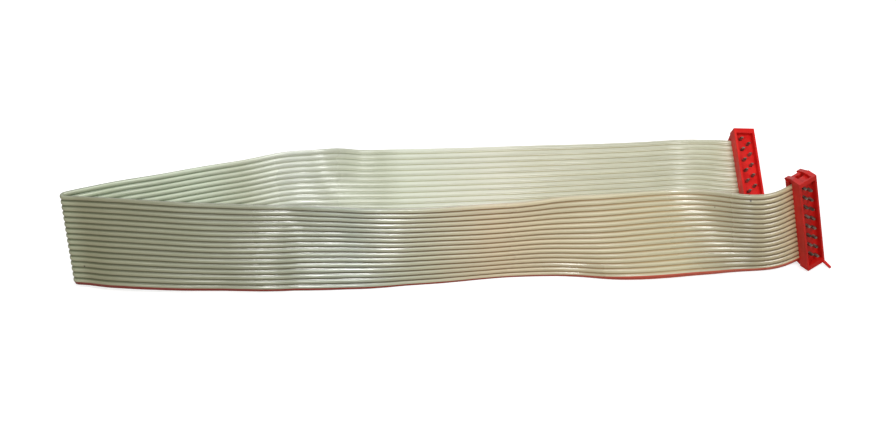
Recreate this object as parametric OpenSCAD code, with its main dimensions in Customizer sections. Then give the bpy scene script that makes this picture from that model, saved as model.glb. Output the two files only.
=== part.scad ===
// Ribbon cable, sixteen wires, with a zigzag micro plug crimped on each end.
// The cable stands on its edge, folded back on itself into a narrow V.
// Millimetres, +Z up, X along the V, origin on the floor under the middle of the part.

/* [Cable] */
// Distance from one wire to the next
pitch = 1.27; // [1.27:0.01:1.27]
// Thickness of the insulation over a wire
wire_d = 0.9; // [0.84:0.02:0.92]
// Thickness of the web between two wires
web_t = 0.32; // [0.2:0.02:0.4]
// Width of the flat top of a wire's insulation
crest_w = 0.56; // [0.4:0.02:0.7]
// Half the diagonal of a conductor
conductor_r = 0.24; // [0.16:0.02:0.26]
// Insulation beyond the centre of the outer wire, plain edge
plain_edge = 0.45; // [0.4:0.01:0.6]
// Insulation beyond the centre of the outer wire, striped edge
stripe_edge = 0.85; // [0.5:0.01:0.9]

/* [Plug] */
// Width of a plug, along the wires
plug_w = 4.75; // [4.6:0.05:5.4]
// Length of a plug, across the wires
plug_l = 23.4; // [23.2:0.1:24.4]
// Height of the mating rim above the middle of the cable
rim_h = 3.1; // [2.8:0.1:3.6]
// Thickness of the housing's floor
floor_t = 1.3; // [0.6:0.1:1.5]
// Thickness of the long walls round the recess
wall = 0.45; // [0.4:0.05:0.8]
// Thickness of the end walls
end_wall = 1.1; // [1:0.05:1.3]
// Thickness of the cover
cover_t = 1.2; // [1.1:0.05:1.3]
// Width of a latch leg
leg_w = 1; // [0.8:0.1:1.2]
// Step from a plug's side to its latch legs
leg_in = 0.2; // [0:0.1:0.4]
// Depth of the hollow in each end face
end_hollow = 0.7; // [0.3:0.1:0.8]
// Reach of the coding peg beyond the rim
peg_reach = 2; // [1:0.1:2.5]

/* [Contacts] */
// Distance of a contact row from the middle of the plug
row_x = 0.72; // [0.7:0.02:0.9]
// Width of a pin along the wires
pin_w = 0.6; // [0.5:0.05:0.9]
// Thickness of a pin across the wires
pin_t = 0.46; // [0.3:0.02:0.5]
// Gap between a pin's tip and the rim
pin_drop = 0; // [0:0.05:0.5]
// Width of the fork that bites a wire
fork_w = 1; // [0.9:0.02:1.06]
// Thickness of the fork
fork_t = 0.3; // [0.2:0.02:0.3]
// Width of the slot in the fork
fork_slot = 0.34; // [0.26:0.02:0.38]

/* [Hidden] */
wires = 16;
wire_r = wire_d / 2;
fit_gap = 0.02;          // play between parts that meet
overlap = 0.2;           // how far joined shapes run into each other
through = 0.5;           // how far a cut runs past a face

// Route of the cable's middle: x, y, z and the lean of the strip in degrees, back positive.
// The near run goes from its plug to the fold.
near_route = [
    [74.6, -14, 11.65, -4],
    [69.5, -16.5, 11.35, -5],
    [64, -16.5, 11.5, -4],
    [57, -15, 11.5, 4],
    [48, -15, 11.5, 10],
    [38, -14, 11, 9],
    [28, -13, 10.5, 2],
    [18, -12.5, 10.5, -5],
    [6, -12.5, 10.5, -5],
    [-8, -13, 10.5, -3],
    [-22, -12, 10.5, 3],
    [-36, -10, 10.5, 9],
    [-50, -8.5, 10.5, 12],
    [-63, -6, 10.5, 16],
    [-73.5, -4, 10.5, 18]
];
// The far run goes from the fold to its plug.
far_route = [
    [-74, 3, 9.8, 16],
    [-63, 5, 10.3, 10],
    [-52, 7.5, 10.3, 10],
    [-43, 9, 10.4, 10],
    [-35, 11.5, 10, 14],
    [-27, 11, 10, 21],
    [-20, 12.5, 8.7, 49],
    [-12, 14, 7.2, 47],
    [2, 14.2, 6.6, 50],
    [16, 13.5, 6.7, 52],
    [30, 11.5, 7.8, 58],
    [43, 9, 9.3, 61],
    [54, 7, 10.6, 62],
    [63.5, 7.3, 9, 57]
];
stand = [0.78, -2.11, 0.37];        // puts the origin on the floor under the middle of the part
fold_centre = [-81.95, -1.15, 10.3];
fold_r = 0.8;                       // bend of the cable's middle at the fold
fold_from = 170;                    // heading of the near run as it reaches the fold
fold_to = 22;                       // heading of the far run as it leaves
fold_steps = 4;
crease = [-0.062, 0.29, 0.955];     // direction of the folded edge
near_out = [0.8, 0.59, 0.1];        // from the cable out through the near plug
near_up = [-0.065, -0.08, 1];       // long axis of the near plug
far_out = [0.94, 0.24, -0.24];
far_up = [-0.07, 0.84, 0.55];

function unit(v) = v / norm(v);
function square_to(v, t) = unit(v - (v * t) * t);
function place(s) = stand + [s.x, s.y, s.z];
function leaning(a) = [0, sin(a), cos(a)];
function wire_z(k) = ((wires + 1) / 2 - k) * pitch;

fold_turn = (fold_to - fold_from) / fold_steps;
fold_points = [for (i = [0:fold_steps]) let (a = fold_from + i * fold_turn)
    stand + fold_centre + fold_r * [-sin(a), cos(a), 0]];

near_dir = unit(near_out);
far_dir = unit(far_out);
near_points = [for (s = near_route) place(s)];
far_points = [for (s = far_route) place(s)];
far_last = len(far_points) - 1;
centres = concat(
    [near_points[0] + plug_w * near_dir], near_points,
    fold_points,
    far_points, [far_points[far_last] + plug_w * far_dir]
);
first_fold = len(near_points) + 1;
first_far = first_fold + len(fold_points);
last = len(centres) - 1;

function heading(i) =
    i <= 1 ? -near_dir
    : i >= last - 1 ? far_dir
    : unit(centres[i + 1] - centres[i - 1]);
function upright(i) =
    i <= 1 ? square_to(near_up, near_dir)
    : i >= last - 1 ? square_to(far_up, far_dir)
    : i >= first_fold && i < first_far ? unit(crease)
    : square_to(leaning(i < first_fold ? near_route[i - 1][3] : far_route[i - first_far][3]), heading(i));

// One ring of a sweep: a flat outline of [up, out] points set across the cable.
function ring(i, outline) =
    let (up = upright(i), out = unit(cross(heading(i), up)))
    [for (p = outline) centres[i] + p.x * up + p.y * out];

// Outline of the insulation down one face, from the plain edge to the striped one.
function face_line(side) = concat(
    [[wire_z(1) + plain_edge, side * web_t / 2]],
    [for (k = [1:wires]) each [
        [wire_z(k) + crest_w / 2, side * wire_r],
        [wire_z(k) - crest_w / 2, side * wire_r],
        [wire_z(k) - (k < wires ? pitch / 2 : stripe_edge), side * web_t / 2]
    ]]
);
function diamond(k, r) = [
    [wire_z(k) + r, 0], [wire_z(k), r], [wire_z(k) - r, 0], [wire_z(k), -r]
];
face_n = 3 * wires + 1;
skin_n = 2 * face_n;
ring_n = skin_n + 4 * wires;
front = face_line(1);
back = face_line(-1);
section = concat(
    front, [for (i = [face_n - 1:-1:0]) back[i]],
    [for (k = [1:wires]) each diamond(k, conductor_r)]
);

// Walls of a tube between ring i and the next, for n of a ring's points, starting at point a.
// Both kinds split along the same diagonal, so a conductor fills its channel exactly.
function walls(i, a, n, count, inside) = [for (j = [0:n - 1])
    let (p = i * count + a + j, q = i * count + a + (j + 1) % n, r = q + count, s = p + count)
    each inside ? [[p, q, r], [p, r, s]] : [[p, r, q], [p, s, r]]];

// The web and crest faces that close one end of the insulation round the channels.
function cap_cell(k) =
    let (f = 3 * (k - 1), b = skin_n - 1 - f, c = skin_n + 4 * (k - 1)) [
        [f, f + 1, c + 1, c], [f + 1, f + 2, c + 1], [f + 2, f + 3, c + 2, c + 1],
        [f + 3, b - 3, c + 2],
        [b - 3, b - 2, c + 3, c + 2], [b - 2, b - 1, c + 3], [b - 1, b, c, c + 3],
        [b, f, c]
    ];
function flip(face) = [for (i = [len(face) - 1:-1:0]) face[i]];
function shift(face, by) = [for (i = face) i + by];

module sweep_insulation() {
    cap = [for (k = [1:wires]) each cap_cell(k)];
    points = [for (i = [0:last]) each ring(i, section)];
    faces = concat(
        cap,
        [for (i = [0:last - 1]) each walls(i, 0, skin_n, ring_n, false)],
        [for (i = [0:last - 1], k = [0:wires - 1]) each walls(i, skin_n + 4 * k, 4, ring_n, true)],
        [for (f = cap) flip(shift(f, last * ring_n))]
    );
    polyhedron(points, faces, convexity = 10);
}

module sweep_conductor(k) {
    points = [for (i = [0:last]) each ring(i, diamond(k, conductor_r))];
    faces = concat(
        [[0, 1, 2, 3]],
        [for (i = [0:last - 1]) each walls(i, 0, 4, 4, false)],
        [[for (j = [3:-1:0]) last * 4 + j]]
    );
    polyhedron(points, faces, convexity = 10);
}

module ribbon_insulation() color([0.70, 0.69, 0.60]) sweep_insulation();
module conductor(k) color([0.80, 0.50, 0.32]) sweep_conductor(k);

// A plug's own frame: X back along the cable, Y out of the mating face, Z towards wire 1.
skin_y = wire_r + fit_gap;          // faces of housing and cover that hold the cable
floor_y = skin_y + floor_t;
cover_y = skin_y + cover_t;
leg_gap = 0.2;                      // from the cable's edge to a leg
leg_z = -wire_z(wires) + stripe_edge + leg_gap;
between_legs = plug_w / 2 - leg_in - leg_w;     // half the gap between the two legs of an end
barb = 0.5;                         // reach and height of a latch barb
leg_lean = 0.75;                    // how far a leg leans in at its barb
rib = 0.2;                          // height of the ribs between the wires
tine_y = skin_y + 0.8;              // depth of the fork's tips behind the cable's middle
end_roof = 0.4;                     // left over the hollow in an end face
tongue_t = 0.8;                     // thickness of the cover's end tongues
peg_t = 0.5;                        // thickness of the peg along the wires
peg_foot = 0.8;                     // where its slant starts, below the rim
peg_root = 0.3;                     // how far it laps onto the rim
peg_drop = 0.5;                     // how far its tip lies past the end of the plug
peg_tip = 0.35;                     // thickness of the tip
pin_taper = 0.5;                    // length of the taper at a pin's tip

module at_near() {
    z = square_to(near_up, near_dir);
    x = -near_dir;
    seat(centres[1] + plug_w / 2 * near_dir, x, cross(z, x), z) children();
}
module at_far() {
    z = square_to(far_up, far_dir);
    x = -far_dir;
    seat(centres[last - 1] + plug_w / 2 * far_dir, x, cross(z, x), z) children();
}
module seat(p, x, y, z)
    multmatrix([
        [x.x, y.x, z.x, p.x],
        [x.y, y.y, z.y, p.y],
        [x.z, y.z, z.z, p.z]
    ]) children();

module box(low, high) translate(low) cube(high - low);
// An outline in Y and Z, pushed out along X from x0 to x1.
module slab(x0, x1, outline)
    translate([x0, 0, 0]) rotate([90, 0, 90]) linear_extrude(x1 - x0) polygon(outline);

// Low ribs that stand in the grooves between the wires, on the side given.
module ribs(side)
    for (k = [1:wires - 1])
        slab(-plug_w / 2, plug_w / 2, [
            [side * (skin_y + overlap), wire_z(k) - pitch / 2 - rib],
            [side * (skin_y + overlap), wire_z(k) - pitch / 2 + rib],
            [side * (skin_y - rib), wire_z(k) - pitch / 2 + rib / 2],
            [side * (skin_y - rib), wire_z(k) - pitch / 2 - rib / 2]
        ]);

module leg(x0)
    slab(x0, x0 + leg_w, [
        [skin_y + overlap, leg_z], [skin_y + overlap, plug_l / 2], [skin_y, plug_l / 2],
        [-cover_y - barb / 2, plug_l / 2 - leg_lean],
        [-cover_y - barb, plug_l / 2 - leg_lean - barb / 2],
        [-cover_y - barb, leg_z], [-cover_y - fit_gap, leg_z - barb],
        [-cover_y - fit_gap, leg_z]
    ]);

module legs()
    for (end = [0, 1], x0 = [leg_in - plug_w / 2, between_legs])
        mirror([0, 0, end]) leg(x0);

// The coding peg leaves the rim at one corner and slants past the end of the plug.
module peg()
    slab(-plug_w / 2, peg_t - plug_w / 2, [
        [rim_h - peg_foot, -plug_l / 2],
        [rim_h + peg_reach, -plug_l / 2 - peg_drop - peg_tip / 2],
        [rim_h + peg_reach, -plug_l / 2 - peg_drop + peg_tip / 2],
        [rim_h, peg_root - plug_l / 2], [rim_h - overlap, peg_root - plug_l / 2]
    ]);

function row_of(k) = k % 2 == 1 ? row_x : -row_x;

// The shape of one contact, grown by gap on each side to cut its slots.
module contact_shape(k, gap) {
    x = row_of(k);
    z = wire_z(k);
    half = pin_t / 2 + gap;
    tip_y = rim_h - pin_drop;
    slab(x - pin_w / 2 - gap, x + pin_w / 2 + gap, [
        [skin_y, z - half], [tip_y - pin_taper, z - half], [tip_y, z - half / 2],
        [tip_y, z + half / 2], [tip_y - pin_taper, z + half], [skin_y, z + half]
    ]);
    box([x - fork_t / 2 - gap, -tine_y - gap, z - fork_w / 2 - gap],
        [x + fork_t / 2 + gap, skin_y + overlap + gap, z + fork_w / 2 + gap]);
}

module contact(k) {
    x = row_of(k);
    z = wire_z(k);
    half = fork_slot / 2;
    color([0.72, 0.72, 0.70])
        difference() {
            contact_shape(k, 0);
            slab(x - fork_t, x + fork_t, [
                [-tine_y - overlap, z - half - overlap], [-tine_y + overlap, z - half],
                [skin_y - overlap, z - half], [skin_y - overlap, z + half],
                [-tine_y + overlap, z + half], [-tine_y - overlap, z + half + overlap]
            ]);
        }
}

module shell() {
    difference() {
        box([-plug_w / 2, skin_y, -plug_l / 2], [plug_w / 2, rim_h, plug_l / 2]);
        box([-plug_w / 2 + wall, floor_y, -plug_l / 2 + end_wall],
            [plug_w / 2 - wall, rim_h + through, plug_l / 2 - end_wall]);
    }
    legs();
    ribs(1);
    peg();
}

module housing()
    color([0.84, 0.12, 0.10])
        difference() {
            shell();
            for (end = [0, 1])
                mirror([0, 0, end])
                    box([-between_legs, skin_y - through, plug_l / 2 - end_hollow],
                        [between_legs, rim_h - end_roof, plug_l / 2 + through]);
            for (k = [1:wires]) contact_shape(k, fit_gap);
        }

module cover() {
    tongue_x = between_legs - fit_gap;
    slot_x = fork_t / 2 + fit_gap;
    slot_z = fork_w / 2 + fit_gap;
    color([0.80, 0.11, 0.09])
        difference() {
            union() {
                box([-plug_w / 2, -cover_y, fit_gap - leg_z], [plug_w / 2, -skin_y, leg_z - fit_gap]);
                box([-tongue_x, -skin_y - tongue_t, end_hollow - plug_l / 2],
                    [tongue_x, -skin_y, plug_l / 2 - end_hollow]);
                ribs(-1);
            }
            for (k = [1:wires])
                translate([row_of(k), 0, wire_z(k)])
                    box([-slot_x, -cover_y - through, -slot_z], [slot_x, through - skin_y, slot_z]);
        }
}

function two(k) = k < 10 ? str("0", k) : str(k);
conductor_names = [for (k = [1:wires]) str("conductor_", two(k))];
near_names = [for (k = [1:wires]) str("near_contact_", two(k))];
far_names = [for (k = [1:wires]) str("far_contact_", two(k))];

ribbon_insulation();
at_near() housing();  // near_housing
at_near() cover();  // near_cover
at_far() housing();  // far_housing
at_far() cover();  // far_cover
for (k = [1:wires]) {
    conductor(k);
    at_near() contact(k);
    at_far() contact(k);
}
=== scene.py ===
import math
import bpy
import numpy as np
from mathutils import Matrix, Vector


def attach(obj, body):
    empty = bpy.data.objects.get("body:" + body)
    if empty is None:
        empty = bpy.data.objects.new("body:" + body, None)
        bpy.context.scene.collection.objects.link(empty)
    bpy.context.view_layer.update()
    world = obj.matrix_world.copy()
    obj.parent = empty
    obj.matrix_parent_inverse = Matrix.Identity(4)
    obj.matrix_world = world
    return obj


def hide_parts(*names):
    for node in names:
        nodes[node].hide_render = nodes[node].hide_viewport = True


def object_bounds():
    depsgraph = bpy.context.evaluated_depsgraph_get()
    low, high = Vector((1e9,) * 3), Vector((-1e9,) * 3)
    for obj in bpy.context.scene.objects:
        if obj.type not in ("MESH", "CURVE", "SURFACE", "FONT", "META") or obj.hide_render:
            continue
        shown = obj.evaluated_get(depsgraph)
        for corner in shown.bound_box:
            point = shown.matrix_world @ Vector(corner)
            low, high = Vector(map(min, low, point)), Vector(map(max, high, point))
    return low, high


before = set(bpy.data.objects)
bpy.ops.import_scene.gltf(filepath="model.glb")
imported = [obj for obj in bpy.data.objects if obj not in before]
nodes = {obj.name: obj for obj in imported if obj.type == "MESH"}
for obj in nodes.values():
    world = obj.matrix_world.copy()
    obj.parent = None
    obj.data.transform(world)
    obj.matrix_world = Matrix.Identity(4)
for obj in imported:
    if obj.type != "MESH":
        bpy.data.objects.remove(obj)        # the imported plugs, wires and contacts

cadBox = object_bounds()
scene = bpy.context.scene
scene.view_settings.view_transform = "Standard"
mm = 0.001
print("nodes:", len(nodes))

# The strip's route, in metres: x, y, z and the lean in degrees. stand puts the origin under the part.
route = {
    "stand": (0.00078, -0.00211, 0.00037),
    "near": [        # from the near plug to the fold
        (0.0746, -0.014, 0.01165, -4), (0.0695, -0.0165, 0.01135, -5), (0.064, -0.0165, 0.0115, -4),
        (0.057, -0.015, 0.0115, 4), (0.048, -0.015, 0.0115, 10), (0.038, -0.014, 0.011, 9),
        (0.028, -0.013, 0.0105, 2), (0.018, -0.0125, 0.0105, -5), (0.006, -0.0125, 0.0105, -5),
        (-0.008, -0.013, 0.0105, -3), (-0.022, -0.012, 0.0105, 3), (-0.036, -0.01, 0.0105, 9),
        (-0.05, -0.0085, 0.0105, 12), (-0.063, -0.006, 0.0105, 16), (-0.0735, -0.004, 0.0105, 18),
    ],
    "far": [         # from the fold to the far plug
        (-0.074, 0.003, 0.0098, 16), (-0.063, 0.005, 0.0103, 10), (-0.052, 0.0075, 0.0103, 10),
        (-0.043, 0.009, 0.0104, 10), (-0.035, 0.0115, 0.01, 14), (-0.027, 0.011, 0.01, 21),
        (-0.02, 0.0125, 0.0087, 49), (-0.012, 0.014, 0.0072, 47), (0.002, 0.0142, 0.0066, 50),
        (0.016, 0.0135, 0.0067, 52), (0.03, 0.0115, 0.0078, 58), (0.043, 0.009, 0.0093, 61),
        (0.054, 0.007, 0.0106, 62), (0.0635, 0.0073, 0.009, 57),
    ],
    "foldCentre": (-0.08195, -0.00115, 0.0103),
    "foldRadius": 0.0008,
    "foldHeadings": (170, 22),         # degrees, into the fold and out of it
    "foldSteps": 10,
    "foldLean": 15,
    "crease": (-0.062, 0.29, 0.955),
    "creaseReach": 0.008,      # how far from the fold its slant fades out
    "nearOut": (0.8, 0.59, 0.1),
    "nearUp": (-0.065, -0.08, 1),
    "farOut": (0.94, 0.24, -0.24),
    "farUp": (-0.07, 0.84, 0.55),
    "plugWidth": 0.00475,
    "plugRings": 5,            # over which the strip turns into a plug's own direction
    "finePoints": 30,          # from one point of the route to the next, before it is cut into rings
    "step": 0.0015,            # from one ring of the strip to the next
    "softPasses": 3,
}


def unit(v):
    return v / np.linalg.norm(v)


def squareTo(v, t):
    return unit(v - (v @ t) * t)


def distances(points):
    # How far along its line each point is.
    return np.concatenate([[0], np.cumsum(np.linalg.norm(np.diff(points[:, :3], axis=0), axis=1))])


def hermite(points, startDir, endDir):
    # A smooth line through points: chord-length spacing, with the two end directions given.
    p = np.array(points, float)
    chord = np.linalg.norm(np.diff(p[:, :3], axis=0), axis=1)
    slope = np.diff(p, axis=0) / chord[:, None]
    tangent = np.zeros_like(p)
    tangent[1:-1] = (slope[:-1] * chord[1:, None] + slope[1:] * chord[:-1, None]) / (
        chord[1:, None] + chord[:-1, None])
    tangent[0], tangent[-1] = slope[0], slope[-1]
    tangent[0, :3], tangent[-1, :3] = startDir, endDir
    line = []
    for i, length in enumerate(chord):
        for t in np.linspace(0, 1, route["finePoints"], endpoint=False):
            line.append(
                (2 * t**3 - 3 * t**2 + 1) * p[i] + (t**3 - 2 * t**2 + t) * length * tangent[i]
                + (3 * t**2 - 2 * t**3) * p[i + 1] + (t**3 - t**2) * length * tangent[i + 1])
    line.append(p[-1])
    return np.array(line)


def cutToRings(line):
    # The line again, with its points a step apart and its corners softened.
    along = distances(line)
    count = max(2, round(along[-1] / route["step"]))
    at = np.linspace(0, along[-1], count + 1)
    rings = np.stack([np.interp(at, along, line[:, k]) for k in range(line.shape[1])], 1)
    for _ in range(route["softPasses"]):
        rings[1:-1] = 0.25 * rings[:-2] + 0.5 * rings[1:-1] + 0.25 * rings[2:]
    return rings


def foldArc():
    # The rings of the fold, and the strip's heading at its two ends.
    x, y, z = route["foldCentre"]
    radius = route["foldRadius"]
    turns = np.radians(np.linspace(*route["foldHeadings"], route["foldSteps"] + 1))
    rings = np.array([
        [x - radius * math.sin(turn), y + radius * math.cos(turn), z, route["foldLean"]] for turn in turns])
    into, outOf = [np.array([math.cos(turn), math.sin(turn), 0]) for turn in (turns[0], turns[-1])]
    return rings, into, outOf


def upsAlong(leans, headings, along, firstFold, lastFold):
    # The direction across the strip, towards its first wire, at each ring.
    crease = unit(np.array(route["crease"]))
    ups = []
    for i, lean in enumerate(np.radians(leans)):
        up = squareTo(np.array([0, math.sin(lean), math.cos(lean)]), headings[i])
        away = max(along[firstFold] - along[i], along[i] - along[lastFold], 0) / route["creaseReach"]
        share = max(0, 1 - away)
        share = share * share * (3 - 2 * share)
        ups.append(unit(up * (1 - share) + crease * share))
    ups[0] = squareTo(np.array(route["nearUp"]), headings[0])
    ups[-1] = squareTo(np.array(route["farUp"]), headings[-1])
    for n in range(1, route["plugRings"]):
        share = 1 - n / route["plugRings"]
        for end, i in ((0, n), (-1, -1 - n)):
            ups[i] = squareTo(ups[i] * (1 - share) + ups[end] * share, headings[i])
    return ups


def layOutStrip():
    # Rings of the strip: centres, headings, ups across it, outs from its front face, distances along it.
    nearDir, farDir = unit(np.array(route["nearOut"])), unit(np.array(route["farOut"]))
    fold, intoFold, outOfFold = foldArc()
    near = cutToRings(hermite([*route["near"], tuple(fold[0])], -nearDir, intoFold))
    far = cutToRings(hermite([tuple(fold[-1]), *route["far"]], outOfFold, farDir))
    line = np.concatenate([near, fold[1:-1], far]) + np.array([*route["stand"], 0])
    firstFold, lastFold = len(near) - 1, len(near) - 1 + route["foldSteps"]
    centres, leans, last = line[:, :3], line[:, 3], len(line) - 1
    headings = np.array([unit(centres[min(i + 1, last)] - centres[max(i - 1, 0)]) for i in range(last + 1)])
    headings[0], headings[-1] = -nearDir, farDir
    ups = upsAlong(leans, headings, distances(centres), firstFold, lastFold)
    inside = [route["plugWidth"], route["plugWidth"] / 2]        # more rings, inside each plug
    more = len(inside)
    centres = np.concatenate([
        [centres[0] + reach * nearDir for reach in inside],
        centres,
        [centres[-1] + reach * farDir for reach in inside[::-1]]])
    headings = np.concatenate([[-nearDir] * more, headings, [farDir] * more])
    ups = np.concatenate([[ups[0]] * more, ups, [ups[-1]] * more])
    outs = np.array([unit(np.cross(heading, up)) for heading, up in zip(headings, ups)])
    return centres, headings, ups, outs, distances(centres), (firstFold + more, lastFold + more)


centres, headings, ups, outs, along, foldRings = layOutStrip()
cableLength = float(along[-1])
print("route laid out:", len(centres), "rings,", round(cableLength, 4), "m")

strip = {
    "wires": 16,
    "pitch": 1.27 * mm,
    "wireRadius": 0.45 * mm,
    "squareness": 2.8,         # of a wire's section; 2 is round
    "spots": (0.98, 0.9, 0.7, 0.38, 0, -0.38, -0.7, -0.9, -0.98),      # points of that section, in radii
    "webHalf": 0.2 * mm,
    "plainEdge": 0.45 * mm,    # beyond the centre of the first wire
    "stripeEdge": 0.85 * mm,   # beyond the centre of the last wire
    "stripeTaper": 0.1 * mm,
}

# How the near run leaves its plain route. Its rows begin with x, and all their values are in millimetres.
nearRun = {
    "bulges": [      # how far the middle and the edges stand back, square to the strip
        (80, 0, 0), (75, -0.2, -0.2), (70, -0.4, -0.1), (66, -0.1, -0.1), (62, 0, -0.15), (57.5, 0, -0.5),
        (51, 0.15, -0.15), (47, 0, -0.2), (42.5, -0.5, -0.5), (38, -0.95, -0.6), (34, -0.95, -0.35),
        (29.5, -0.6, 0.2), (25, -0.3, 0.3), (21, -0.3, 0), (17, -0.5, -0.2), (12.5, -0.7, -0.2),
        (8, -0.75, -0.25), (4, -0.55, -0.3), (-0.5, -0.2, -0.2), (-5, 0, 0), (-9, 0, 0.1), (-13, 0.2, 0),
        (-17.5, 0.45, 0), (-22, 0.65, 0.15), (-26.5, 0.5, 0), (-30.5, 0.3, -0.1), (-33, 0, -0.15),
        (-35, -0.4, -0.45), (-39, -0.65, -0.55), (-44, -0.65, -0.25), (-48, -0.6, 0), (-52.5, -0.65, -0.15),
        (-57, -0.7, -0.5), (-61, -0.7, -0.6), (-66, -0.6, -0.6), (-70, -0.4, -0.4), (-76, -0.3, -0.4),
        (-83, 0, 0),
    ],
    "plainRings": (3, 2),      # at the plug and before the fold, where nothing bulges
    "fadeRings": 4,            # beyond those, over which the bulges grow
    "edgeWire": 7,             # wires from the middle to where the edge's value holds
    "edgeMost": 1.3,           # times that value, beyond it
    "swells": [(76, 0), (71, 0.5), (66.5, 0.8), (62, 0.25), (50, -0.8), (46, -0.8), (25, 0)],
    "forward": (0.044, -0.8375, 0.5446),       # the way in which the whole width swells
    "blur": 1,                 # each value is a mean over this far to both sides
}


def rowsAt(x, rows):
    # What the rows give at x.
    xs, *columns = np.array(rows[::-1]).T * mm
    blur = nearRun["blur"] * mm
    return [np.mean([np.interp(x + aside, xs, column) for aside in (-blur, 0, blur)]) for column in columns]


def standBack(i, across):
    # How far the strip stands out of its plain route at ring i, at the given places across it.
    atPlug, atFold = nearRun["plainRings"]
    beyond = np.array([i - atPlug, foldRings[0] - atFold - i])
    share = np.prod(np.clip(beyond / nearRun["fadeRings"], 0, 1))
    middle, edge = rowsAt(centres[i][0], nearRun["bulges"])
    bow = np.clip((np.asarray(across) / (nearRun["edgeWire"] * strip["pitch"])) ** 2, 0, nearRun["edgeMost"])
    return share * (middle + (edge - middle) * bow)


def swell(i):
    # How far ring i of the near run is moved forward.
    reach, = rowsAt(centres[i][0], nearRun["swells"])
    return (i < foldRings[0]) * reach * np.array(nearRun["forward"])


swollen = [centre + swell(i) for i, centre in enumerate(centres)]


def wireAt(k):
    return ((strip["wires"] - 1) / 2 - k) * strip["pitch"]


def stripOutline():
    # Points (across, out) of the strip's section: down the front face and back up the other.
    power = strip["squareness"]
    down = [(wireAt(0) + strip["plainEdge"], 0)]
    for k in range(strip["wires"]):
        for spot in strip["spots"]:
            height = strip["wireRadius"] * (1 - abs(spot) ** power) ** (1 / power)
            down.append((wireAt(k) + spot * strip["wireRadius"], max(strip["webHalf"], height)))
    edge = wireAt(strip["wires"] - 1) - strip["stripeEdge"]
    down += [(edge + strip["stripeTaper"], strip["webHalf"]), (edge, 0.5 * strip["webHalf"])]
    return down + [(x, -y) for x, y in down[::-1] if y > 0]


def meshPiece(name, verts, faces, smooth=True):
    mesh = bpy.data.meshes.new(name)
    mesh.from_pydata([tuple(v) for v in verts], [], faces)
    mesh.validate()
    if smooth:
        mesh.polygons.foreach_set("use_smooth", [True] * len(mesh.polygons))
    piece = bpy.data.objects.new(name, mesh)
    scene.collection.objects.link(piece)
    return piece


def tube(first, rings, n):
    # Faces of a closed tube whose rings of n points start at vertex first.
    def corner(i, j):
        return first + i * n + j % n
    faces = [
        (corner(i, j), corner(i + 1, j), corner(i + 1, j + 1), corner(i, j + 1))
        for i in range(rings - 1) for j in range(n)]
    startCap, endCap = [tuple(corner(i, j) for j in range(n)) for i in (0, rings - 1)]
    return faces + [startCap, endCap[::-1]]


def makeStrip():
    outline = np.array(stripOutline())
    across, n = outline[:, 0], len(outline)
    verts = []
    for i in range(len(centres)):
        out = outline[:, 1] + standBack(i, across)
        verts.append(swollen[i] + across[:, None] * ups[i] + out[:, None] * outs[i])
    piece = meshPiece("ribbonSkin", np.concatenate(verts), tube(0, len(centres), n))
    # a map of the distance along the strip and the place across it
    layer = piece.data.uv_layers.new(name="stripMap")
    spots = np.zeros(len(piece.data.loops), int)
    piece.data.loops.foreach_get("vertex_index", spots)
    uv = np.stack([along[spots // n], across[spots % n]], 1)
    layer.uv.foreach_set("vector", uv.astype(np.float32).ravel())
    return piece


ribbonSkin = makeStrip()
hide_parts("ribbon_insulation")
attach(ribbonSkin, "root")
print("strip made:", len(ribbonSkin.data.polygons), "faces")

wires = {
    "strands": 7,
    "strandRadius": 0.0635 * mm,
    "sides": 6,
    "twist": 150,              # radians a metre
    "apart": 0.37,             # from one wire's twist to the next, in sixths of a turn
    "proud": 0.06 * mm,        # of the strands past the cut vinyl
    "foldMargin": 4,           # rings; so near the fold every ring is used, and elsewhere every other one
}


def makeStrands(k):
    # The copper strands of wire k, in a slow twist, their cut ends a little past the vinyl.
    margin, lastRing = wires["foldMargin"], len(centres) - 1
    closeRings = range(foldRings[0] - margin, foldRings[1] + margin + 1)
    rings = [i for i in range(lastRing + 1) if i % 2 == 0 or i in closeRings or i == lastRing]
    turn = np.linspace(0, 2 * math.pi, wires["sides"], endpoint=False)
    radius = wires["strandRadius"]
    verts, faces = [], []
    for strand in range(wires["strands"]):
        reach = 0 if strand == 0 else radius * 2        # the first strand is the core
        first = len(verts)
        for n, i in enumerate(rings):
            twist = (strand + k * wires["apart"]) * math.pi / 3 + along[i] * wires["twist"]
            across = wireAt(k) + reach * math.cos(twist)
            out = reach * math.sin(twist) + standBack(i, wireAt(k))
            middle = swollen[i] + across * ups[i] + out * outs[i]
            if n in (0, len(rings) - 1):        # the cut ends are uneven
                proud = wires["proud"] * (0.5 + 0.5 * math.sin(3 * k + 5 * strand + n))
                middle = middle + (proud if n else -proud) * headings[i]
            verts += [middle + radius * (math.cos(a) * ups[i] + math.sin(a) * outs[i]) for a in turn]
        faces += tube(first, len(rings), wires["sides"])
    piece = meshPiece(f"strands{k + 1:02d}", verts, faces)
    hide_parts(f"conductor_{k + 1:02d}")
    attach(piece, "root")
    return piece


strands = [makeStrands(k) for k in range(strip["wires"])]
print("strands made:", sum(len(p.data.polygons) for p in strands), "faces")

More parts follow.
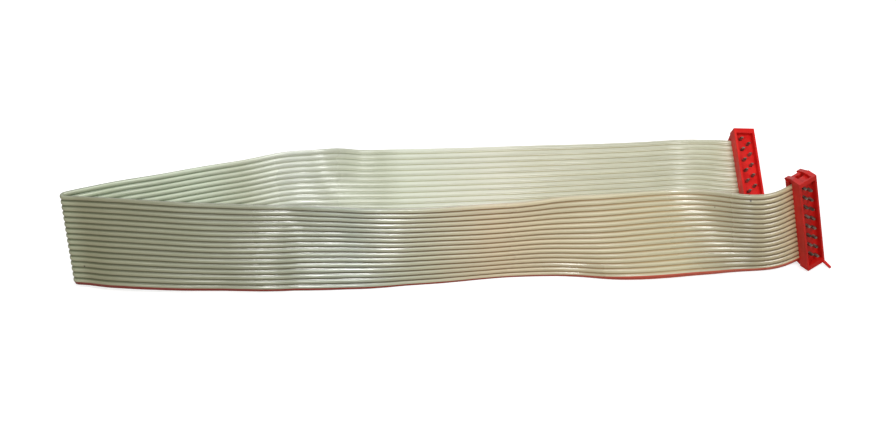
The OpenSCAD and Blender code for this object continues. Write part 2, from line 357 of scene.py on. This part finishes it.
vinyl = {
    # distance along the strip in metres, then the sRGB tones of a wire and of a groove there. Besides the
    # strip's uneven tint, these tones hold painted light and shade: darker towards the fold, where the near
    # run gets less light, and lighter on the far run, which faces up
    "tones": [
        (0.0, (215, 195, 150), (105, 80, 55)),         # warm at the near plug, where the dark groove tone is painted shadow beside the plug
        # darker here, where the strip turns away from the lamps: painted shade
        (0.015, (180, 175, 145), (120, 105, 75)),
        (0.03, (210, 205, 170), (195, 170, 125)),
        (0.055, (215, 205, 170), (160, 135, 95)),
        (0.07, (225, 210, 175), (140, 110, 70)),
        (0.085, (200, 200, 170), (105, 90, 65)),
        (0.1, (180, 190, 170), (85, 85, 70)),          # grey in the middle of the near run; from here to the fold the tones darken as painted shade
        (0.12, (165, 170, 145), (100, 100, 75)),
        (0.16, (150, 150, 120), (90, 95, 65)),         # the fold, dark, as painted shade
        (0.17, (200, 210, 180), (120, 135, 105)),
        (0.195, (220, 230, 205), (125, 140, 110)),
        (0.205, (210, 215, 190), (150, 160, 130)),
        (0.215, (235, 240, 225), (180, 185, 160)),     # a painted highlight on the far run
        (0.235, (205, 210, 185), (140, 145, 115)),
        (0.24, (230, 235, 215), (160, 160, 120)),
        (0.26, (230, 230, 210), (175, 170, 130)),
        (0.27, (215, 215, 190), (175, 165, 125)),
        (0.319, (200, 200, 170), (160, 150, 115)),     # warmer at the far plug
    ],
    "fold": (0.5, 0.54),       # where it begins and ends, in shares of the strip's length
    # each of the rows below begins with such a share
    # the groove tone is dirt and painted shade; its painted shade is wide on the near run, whose wires' lower
    # flanks are in shade, and narrow on the far run, which faces the lamps
    "grooveReach": [(0.0, 0.25), (0.5, 0.28), (0.56, 0.19), (0.68, 0.12), (1.0, 0.12)],      # in pitches
    "grooveCore": 0.4,         # share of that reach which has the groove's full tone
    "grooveAbove": (0.05, -0.03),      # how far above its web that tone lies on the two runs, in pitches; on the near run it sits on the lower flank of the wire above, as painted shade
    "polish": [                # how much of it is left
        (0.0, 0.6), (0.03, 0.6), (0.042, 0.3), (0.052, 0.3), (0.062, 1), (0.088, 1), (0.12, 0.2), (0.18, 0.2),
        (0.22, 1), (0.365, 1), (0.4, 0.4), (0.53, 0.3), (0.655, 0.3), (0.67, 1), (0.7, 1), (0.715, 0.4),
        (0.9, 0.3), (0.93, 0.6), (1.0, 0.6),
    ],
    "lowPolish": [             # of the lower wires of the near run
        (0.0, 0.6), (0.03, 0.6), (0.05, 1), (0.07, 1), (0.1, 0.3), (0.14, 0.3), (0.152, 1), (0.17, 1),
        (0.2, 0.6), (0.23, 1), (0.365, 1), (0.4, 0.4), (1.0, 0.3),
    ],
    "lowWires": (-5 * mm, -6.5 * mm),          # where across the strip those begin
    "stripe": [                # the sRGB tone of the red edge, darkened towards the fold as painted shade
        (0.0, (204, 78, 56)), (0.13, (204, 78, 56)), (0.18, (190, 60, 44)), (0.36, (150, 34, 26)),
        (0.5, (132, 32, 26)), (1.0, (150, 34, 26)),
    ],
    "stripeTop": [(0.0, 9.35), (0.13, 9.35), (0.18, 9.6), (1.0, 9.65)],        # millimetres below the middle
    "stripeMost": 20,          # millimetres that the ramp of stripeTop can hold
    "stripeSoft": 0.05 * mm,
    "stripeJitter": 0.1 * mm,
    # scales of the noises, along the strip and across it
    "jitterScale": (60, 0, 0),
    "streakScale": (25, 900, 1),
    "grainScale": (60, 8000, 1),
    "streakShade": (0.9, 1.06),        # times the tone, from the darkest streak to the lightest
    "roughness": (0.2, 0.24),
    "worn": 0.2,               # roughness that is added where no polish is left
    "streakHeight": 0.2,       # of the streaks, beside the grain's 1
    "bump": {"Distance": 0.035 * mm, "Strength": 1.0},
    "gloss": {"Specular IOR Level": 1.0, "Coat Roughness": 0.22, "Coat IOR": 1.7},
}

specks = {
    "scale": 130.0,
    "rarity": 0.88,            # share of the cells that have none
    "reach": (0.04, 0.02),     # from where a speck fades in to where it is full, in cells
    "tone": (70, 62, 50),
}

noiseRange = (0.3, 0.7)        # nearly all of a noise lies in it


def linear(r, g, b):
    # A shader's colour for an sRGB tone of 0 to 255.
    def one(c):
        c = c / 255
        return c / 12.92 if c <= 0.04045 else ((c + 0.055) / 1.055) ** 2.4
    return (one(r), one(g), one(b), 1)


def put(tree, kind, inputs=None, **settings):
    # One shader node with its settings, its constants and its links.
    made = tree.nodes.new("ShaderNode" + kind)
    for key, value in settings.items():
        setattr(made, key, value)
    for key, value in (inputs or {}).items():
        if isinstance(value, bpy.types.NodeSocket):
            tree.links.new(value, made.inputs[key])
        else:
            made.inputs[key].default_value = value
    return made


def maths(tree, operation, a, b=0.0, clamp=False):
    return put(tree, "Math", {0: a, 1: b}, operation=operation, use_clamp=clamp).outputs[0]


def remap(tree, value, low, high, toLow=0.0, toHigh=1.0, smooth=True):
    return put(tree, "MapRange", {
        "Value": value, "From Min": low, "From Max": high, "To Min": toLow, "To Max": toHigh,
    }, interpolation_type="SMOOTHSTEP" if smooth else "LINEAR").outputs["Result"]


def ramp(tree, factor, stops):
    made = put(tree, "ValToRGB", {"Fac": factor})
    marks = made.color_ramp.elements
    marks[0].position, marks[0].color = stops[0]
    marks[1].position, marks[1].color = stops[-1]
    for position, color in stops[1:-1]:
        marks.new(position).color = color
    return made.outputs["Color"]


def valueRamp(tree, factor, rows):
    return ramp(tree, factor, [(at, (value, value, value, 1)) for at, value in rows])


def mixed(tree, factor, a, b, blend="MIX"):
    return put(tree, "Mix", {"Factor": factor, 6: a, 7: b}, data_type="RGBA", blend_type=blend).outputs[2]


def noise(tree, vector, scale, detail=2.0, rough=0.5):
    return put(tree, "TexNoise", {
        "Vector": vector, "Scale": scale, "Detail": detail, "Roughness": rough}).outputs["Fac"]


def stretched(tree, vector, scale):
    return put(tree, "Mapping", {"Vector": vector, "Scale": scale}).outputs[0]


def newMaterial(name, constants):
    made = bpy.data.materials.new(name)
    made.use_nodes = True
    surface = made.node_tree.nodes["Principled BSDF"]
    for socket, value in constants.items():
        surface.inputs[socket].default_value = value
    return made, made.node_tree, surface


def addBump(tree, surface, height, bump):
    made = put(tree, "Bump", {"Height": height, **bump})
    tree.links.new(made.outputs["Normal"], surface.inputs["Normal"])


def grooveDirtAndShadeMask(group, place, v):
    # Where the groove tone, dirt and painted shade, lies between the wires.
    above = remap(group, place, *vinyl["fold"], *vinyl["grooveAbove"])
    wave = maths(group, "SUBTRACT", maths(group, "DIVIDE", v, strip["pitch"]), above)
    wave = maths(group, "PINGPONG", wave, 0.5)
    reach = valueRamp(group, place, vinyl["grooveReach"])
    return remap(group, wave, reach, maths(group, "MULTIPLY", reach, vinyl["grooveCore"]))


def polishLeft(group, place, v):
    polish = valueRamp(group, place, vinyl["polish"])
    lowPolish = valueRamp(group, place, vinyl["lowPolish"])
    nearRunOnly = maths(group, "LESS_THAN", place, vinyl["fold"][0])
    low = maths(group, "MULTIPLY", remap(group, v, *vinyl["lowWires"]), nearRunOnly)
    return put(group, "Mix", {"Factor": low, 2: polish, 3: lowPolish}).outputs[0]


def stripeMask(group, spot, place, v):
    most, soft = vinyl["stripeMost"], vinyl["stripeSoft"]
    jitter = noise(group, stretched(group, spot, vinyl["jitterScale"]), 1.0)
    edge = maths(group, "ADD", v, maths(group, "MULTIPLY", jitter, vinyl["stripeJitter"]))
    top = valueRamp(group, place, [(at, depth / most) for at, depth in vinyl["stripeTop"]])
    top = maths(group, "MULTIPLY", top, -most * mm)
    return remap(group, edge, maths(group, "ADD", top, soft), maths(group, "SUBTRACT", top, soft))


def speckMask(group, spot):
    cells = put(group, "TexVoronoi", {"Vector": spot, "Scale": specks["scale"]}).outputs
    chance = put(group, "SeparateColor", {"Color": cells["Color"]}).outputs[0]
    chosen = maths(group, "GREATER_THAN", chance, specks["rarity"])
    near = remap(group, cells["Distance"], *specks["reach"])
    return maths(group, "MULTIPLY", near, chosen)


def stripMarks():
    # Node group: how far along the strip a point is, and how much of each mark is there.
    group = bpy.data.node_groups.new("stripMarks", "ShaderNodeTree")
    spot = put(group, "UVMap", uv_map="stripMap").outputs["UV"]
    parts = put(group, "SeparateXYZ", {"Vector": spot}).outputs
    place = maths(group, "DIVIDE", parts["X"], cableLength, True)
    marks = {
        "Along": place,
        "GrooveDirtAndShade": grooveDirtAndShadeMask(group, place, parts["Y"]),
        "Polish": polishLeft(group, place, parts["Y"]),
        "Stripe": stripeMask(group, spot, place, parts["Y"]),
        "Speck": speckMask(group, spot),
        "Streak": noise(group, stretched(group, spot, vinyl["streakScale"]), 1.0, 4.0),
        "Grain": noise(group, stretched(group, spot, vinyl["grainScale"]), 1.0),
    }
    for name in marks:
        group.interface.new_socket(name, in_out="OUTPUT", socket_type="NodeSocketFloat")
    end = group.nodes.new("NodeGroupOutput")
    for name, value in marks.items():
        group.links.new(value, end.inputs[name])
    return group


def makeVinyl():
    mat, tree, surface = newMaterial("ribbonVinyl", vinyl["gloss"])
    marks = put(tree, "Group", node_tree=stripMarks()).outputs
    place, streak = marks["Along"], marks["Streak"]
    # the wire tone along the strip, with its painted light and shade
    wire = ramp(tree, place, [(at / cableLength, linear(*tone)) for at, tone, _ in vinyl["tones"]])
    grooveDirtAndShade = ramp(tree, place, [(at / cableLength, linear(*tone)) for at, _, tone in vinyl["tones"]])
    # the red edge, darker away from the near plug: painted shade
    stripe = ramp(tree, place, [(at, linear(*tone)) for at, tone in vinyl["stripe"]])
    # dirt and painted shade in the grooves between the wires
    tone = mixed(tree, marks["GrooveDirtAndShade"], wire, grooveDirtAndShade)
    tone = mixed(tree, marks["Stripe"], tone, stripe)
    shade = remap(tree, streak, *noiseRange, *vinyl["streakShade"], smooth=False)
    grey = put(tree, "CombineColor", {0: shade, 1: shade, 2: shade}).outputs[0]
    tone = mixed(tree, 1.0, tone, grey, "MULTIPLY")
    tone = mixed(tree, marks["Speck"], tone, linear(*specks["tone"]))
    tree.links.new(tone, surface.inputs["Base Color"])
    worn = remap(tree, marks["Polish"], 0, 1, vinyl["worn"], 0, smooth=False)
    rough = remap(tree, streak, *noiseRange, *vinyl["roughness"], smooth=False)
    tree.links.new(maths(tree, "ADD", rough, worn), surface.inputs["Roughness"])
    tree.links.new(marks["Polish"], surface.inputs["Coat Weight"])
    height = maths(tree, "ADD", maths(tree, "MULTIPLY", streak, vinyl["streakHeight"]), marks["Grain"])
    addBump(tree, surface, height, vinyl["bump"])
    return mat


def mottleGroup():
    # Node group: clouds over a piece, which the plastics and metals use at their own scales.
    group = bpy.data.node_groups.new("mottle", "ShaderNodeTree")
    for name in ("Scale", "Detail", "Roughness"):
        group.interface.new_socket(name, in_out="INPUT", socket_type="NodeSocketFloat")
    group.interface.new_socket("Clouds", in_out="OUTPUT", socket_type="NodeSocketFloat")
    given = group.nodes.new("NodeGroupInput").outputs
    spot = put(group, "TexCoord").outputs["Object"]
    clouds = noise(group, spot, given["Scale"], given["Detail"], given["Roughness"])
    end = group.nodes.new("NodeGroupOutput")
    group.links.new(clouds, end.inputs["Clouds"])
    return group


mottle = mottleGroup()


def mottled(tree, facts):
    return put(tree, "Group", facts, node_tree=mottle).outputs["Clouds"]


plastic = {
    "tones": {       # dark and light; the near plug's pair is darker, as painted shade, and the far plug's lighter, as painted light
        "near": ((0.49, 0.005, 0.004, 1), (0.63, 0.014, 0.010, 1)),
        "far": ((0.66, 0.008, 0.007, 1), (0.82, 0.020, 0.014, 1)),
    },
    "clouds": {"Scale": 260.0, "Detail": 4.0, "Roughness": 0.5},
    "roughness": (0.3, 0.44),
    "grain": {"Scale": 4200.0, "Detail": 3.0, "Roughness": 0.5},
    "bump": {"Distance": 0.02 * mm, "Strength": 0.35},
    "surface": {"Specular IOR Level": 0.3},
}


def makePlastic(end):
    mat, tree, surface = newMaterial(end + "RedPlasticPaintedShading", plastic["surface"])
    clouds = mottled(tree, plastic["clouds"])
    # the near plug's tones are darkened as painted shade and the far plug's lightened as painted light
    tone = mixed(tree, remap(tree, clouds, *noiseRange), *plastic["tones"][end])
    tree.links.new(tone, surface.inputs["Base Color"])
    tree.links.new(remap(tree, clouds, *noiseRange, *plastic["roughness"]), surface.inputs["Roughness"])
    addBump(tree, surface, mottled(tree, plastic["grain"]), plastic["bump"])
    return mat


tin = {
    "tones": ((0.07, 0.065, 0.045, 1), (0.30, 0.30, 0.25, 1)),       # tarnished and clean
    "toneRange": (0.35, 0.65),
    "tarnish": {"Scale": 900.0, "Detail": 4.0, "Roughness": 0.6},
    "roughness": (0.5, 0.32),
    "bump": {"Distance": 0.02 * mm, "Strength": 0.4},
    "surface": {"Metallic": 0.6},
}


def makeTin():
    mat, tree, surface = newMaterial("tinnedContact", tin["surface"])
    tarnish = mottled(tree, tin["tarnish"])
    tone = mixed(tree, remap(tree, tarnish, *tin["toneRange"]), *tin["tones"])
    tree.links.new(tone, surface.inputs["Base Color"])
    tree.links.new(remap(tree, tarnish, *noiseRange, *tin["roughness"]), surface.inputs["Roughness"])
    addBump(tree, surface, tarnish, tin["bump"])
    return mat


copper = {
    "tones": ((0.50, 0.22, 0.10, 1), (0.80, 0.42, 0.24, 1)),         # dull and bright
    "clouds": {"Scale": 1500.0, "Detail": 3.0, "Roughness": 0.5},
    "roughness": (0.3, 0.5),
    "bump": {"Distance": 0.01 * mm, "Strength": 0.3},
    "surface": {"Metallic": 1.0},
}


def makeCopper():
    mat, tree, surface = newMaterial("copperStrand", copper["surface"])
    clouds = mottled(tree, copper["clouds"])
    tone = mixed(tree, remap(tree, clouds, *noiseRange), *copper["tones"])
    tree.links.new(tone, surface.inputs["Base Color"])
    tree.links.new(remap(tree, clouds, *noiseRange, *copper["roughness"]), surface.inputs["Roughness"])
    addBump(tree, surface, clouds, copper["bump"])
    return mat


ribbonSkin.data.materials.append(makeVinyl())
strandCopper = makeCopper()
for piece in strands:
    piece.data.materials.append(strandCopper)

edges = {
    "plug": 0.14 * mm,
    "contact": 0.05 * mm,
    "weld": 0.002 * mm,
    "segments": 2,
    "leastAngle": 35,          # degrees between two faces; an edge with less stays as it is
}


def roundEdges(piece, width):
    weld = piece.modifiers.new("weld", "WELD")
    weld.merge_threshold = edges["weld"]
    bevel = piece.modifiers.new("bevel", "BEVEL")
    bevel.width, bevel.segments, bevel.limit_method = width, edges["segments"], "ANGLE"
    bevel.angle_limit = math.radians(edges["leastAngle"])
    bevel.harden_normals = True


# one red plastic, as a shaded copy for the near plug and a lit copy for the far plug
litAndShadedReds = {end: makePlastic(end) for end in plastic["tones"]}
contactTin = makeTin()
for name, node in nodes.items():
    if "housing" in name or "cover" in name or "contact" in name:
        kind = "contact" if "contact" in name else "plug"
        node.data.materials.clear()
        node.data.materials.append(contactTin if kind == "contact" else litAndShadedReds[name.split("_")[0]])
        roundEdges(node, edges[kind])
print("materials made")

view = {
    "place": (0.03588, -0.66811, 0.44177),
    "forward": (-0.0439, 0.8375, -0.5446),
    "up": (0.0586, 0.5464, 0.8355),
    "lens": 146.57,
    "sensor": 36,
    "clip": (0.05, 20),
}


def makeCamera():
    data = bpy.data.cameras.new("camera")
    data.lens, data.sensor_width = view["lens"], view["sensor"]
    data.clip_start, data.clip_end = view["clip"]
    camera = bpy.data.objects.new("camera", data)
    scene.collection.objects.link(camera)
    forward = Vector(view["forward"]).normalized()
    right = forward.cross(Vector(view["up"])).normalized()
    up = right.cross(forward)
    turn = Matrix((right, up, -forward)).transposed().to_4x4()
    camera.matrix_world = Matrix.Translation(view["place"]) @ turn
    scene.camera = camera


makeCamera()

studio = {
    "floorSize": 3.0,
    "floorDrop": 0.1 * mm,
    "floorTone": (0.8, 0.8, 0.8, 1),
    "floorGlow": 0.6,
    "floorBounce": (0.50, 0.43, 0.36, 1),      # tone of the light that the floor gives back
    "worldStrength": 0.18,
    "lights": {
        "flashLight": {"place": (-0.20, -0.66, 0.48), "size": 0.10, "power": 2.3},
        "windowLight": {"place": (0.50, -0.50, 0.65), "size": 0.50, "power": 4.0},
        "topLight": {"place": (0.0, 0.15, 0.90), "size": 0.60, "power": 1.6},
        "fillLight": {"place": (-0.10, 0.85, 0.50), "size": 0.80, "power": 1.8},
    },
}


def makeFloor():
    s = studio["floorSize"]
    z = cadBox[0][2] - studio["floorDrop"]
    corners = [(-s, -s, z), (s, -s, z), (s, s, z), (-s, s, z)]
    floor = meshPiece("floor", corners, [(0, 1, 2, 3)], smooth=False)
    mat = bpy.data.materials.new("paleFloor")
    mat.use_nodes = True
    tree = mat.node_tree
    tree.nodes.clear()
    seen = put(tree, "BsdfDiffuse", {"Color": studio["floorTone"]})
    glow = put(tree, "Emission", {"Strength": studio["floorGlow"]})
    both = put(tree, "AddShader", {0: seen.outputs[0], 1: glow.outputs[0]})
    bounce = put(tree, "BsdfDiffuse", {"Color": studio["floorBounce"]})
    path = put(tree, "LightPath")
    mix = put(tree, "MixShader", {0: path.outputs["Is Camera Ray"], 1: bounce.outputs[0], 2: both.outputs[0]})
    put(tree, "OutputMaterial", {"Surface": mix.outputs[0]})
    floor.data.materials.append(mat)


def makeLights():
    world = bpy.data.worlds.new("studioWorld")
    world.use_nodes = True
    scene.world = world
    tree = world.node_tree
    back = tree.nodes["Background"]
    back.inputs["Color"].default_value = (1, 1, 1, 1)
    path = put(tree, "LightPath")
    mix = put(tree, "Mix", {"Factor": path.outputs["Is Camera Ray"], 2: studio["worldStrength"], 3: 1.0})
    tree.links.new(mix.outputs[0], back.inputs["Strength"])
    for name, facts in studio["lights"].items():
        data = bpy.data.lights.new(name, "AREA")
        data.shape, data.size, data.energy = "DISK", facts["size"], facts["power"]
        light = bpy.data.objects.new(name, data)
        scene.collection.objects.link(light)
        light.location = facts["place"]
        light.rotation_euler = (-Vector(facts["place"])).to_track_quat("-Z", "Y").to_euler()


makeFloor()
makeLights()
print("camera, floor and lights set")
